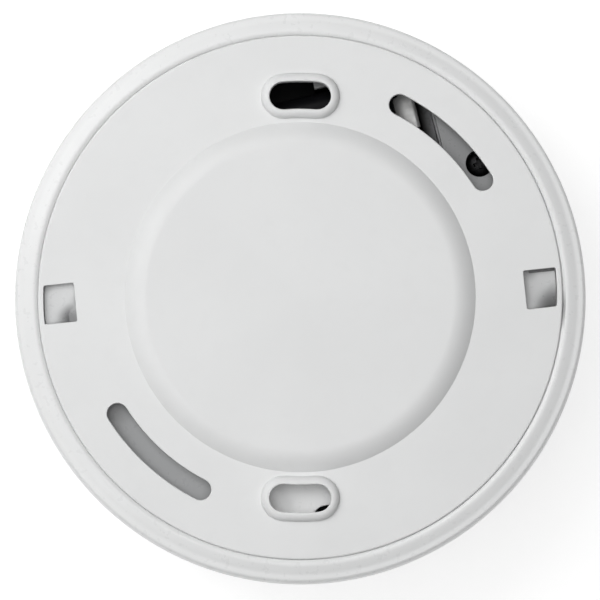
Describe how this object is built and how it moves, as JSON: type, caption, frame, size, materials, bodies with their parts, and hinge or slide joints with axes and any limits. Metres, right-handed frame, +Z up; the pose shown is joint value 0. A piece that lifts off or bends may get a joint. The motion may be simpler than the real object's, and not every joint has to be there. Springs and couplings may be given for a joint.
{
  "type": "smoke detector",
  "caption": "Round white battery smoke alarm on a twist-on ceiling plate, with a low vented dome, test button, optical chamber and sounder.",
  "frame": {"origin": "centre of the mounting plate's raised disc, on the face that rests against the ceiling", "axes": "+Z points up into the ceiling and the alarm hangs towards -Z; +Y runs from the plate's centre to the screw slot over the battery"},
  "size_m": [0.1, 0.1, 0.035],
  "materials": {
    "white_plastic": "fine moulded satin, white",
    "ivory_plastic": "smooth, ivory",
    "black_plastic": "matt black moulding",
    "blackened_steel": "black oxide",
    "steel": "zinc-plated, bright",
    "nickel_plate": "nickel-plated spring strip",
    "brass": "thin rolled sheet",
    "piezo_ceramic": "silvered face",
    "battery_jacket": "satin black printed metal sleeve",
    "red_insulation": "soft red insulation",
    "black_insulation": "soft black insulation",
    "board_laminate": "green solder mask over glass-fibre laminate",
    "emitter_lens": "tinted clear resin",
    "red_led_lens": "diffused red resin",
    "clear_plastic": "clear acrylic",
    "capacitor_sleeve": "shrunk sleeve",
    "transformer_core": "ferrite with lacquered winding",
    "resistor_body": "lacquered"
  },
  "bodies": {
    "plate": {"mounting_plate": "white_plastic"},
    "alarm": {"rear_housing": "white_plastic", "front_cover": "white_plastic", "cover_screw_1": "blackened_steel", "cover_screw_2": "blackened_steel", "cover_screw_3": "blackened_steel", "board_screw_1": "steel", "board_screw_2": "steel", "board_screw_3": "steel", "battery_case": "battery_jacket", "battery_terminal_plate": "black_plastic", "battery_base_plate": "black_plastic", "battery_positive_terminal": "nickel_plate", "battery_negative_terminal": "nickel_plate", "contact_carrier": "black_plastic", "positive_contact": "nickel_plate", "negative_contact": "nickel_plate", "battery_lead_positive": "red_insulation", "battery_lead_negative": "black_insulation", "circuit_board": "board_laminate", "chamber_base": "black_plastic", "chamber_cap": "black_plastic", "insect_mesh": "steel", "infrared_emitter": "emitter_lens", "photodiode_receiver": "black_plastic", "sounder_cup": "black_plastic", "sounder_cap": "black_plastic", "piezo_disc": "brass", "piezo_ceramic": "piezo_ceramic", "piezo_contact_spring_1": "steel", "piezo_contact_spring_2": "steel", "electrolytic_capacitor_1": "capacitor_sleeve", "electrolytic_capacitor_2": "capacitor_sleeve", "sounder_transformer": "transformer_core", "resistor_1": "resistor_body", "resistor_2": "resistor_body", "resistor_3": "resistor_body", "detector_chip": "black_plastic", "indicator_led": "red_led_lens", "light_guide": "clear_plastic", "test_switch_case": "black_plastic", "button_spring": "steel"},
    "button": {"test_button": "white_plastic"},
    "switch_plunger": {"test_switch_plunger": "ivory_plastic"}
  },
  "joints": [
    {"name": "alarm_twist", "type": "hinge", "parent": "plate", "child": "alarm", "pos_m": [0, 0, -0.006], "axis": [0, 0, -1], "range_deg": [0, 14]},
    {"name": "test_button_press", "type": "slide", "parent": "alarm", "child": "button", "axis": [0, 0, 1], "range_m": [0, 0.001], "stiffness_N_per_m": 300, "springref_m": -0.001, "deforming": ["button_spring"]},
    {"name": "switch_plunger_press", "type": "slide", "parent": "alarm", "child": "switch_plunger", "axis": [0, 0, 1], "range_m": [0, 0.0003]}
  ],
  "couplings": [
    {"joint": "switch_plunger_press", "follows": "test_button_press", "ratio": 0.3}
  ]
}
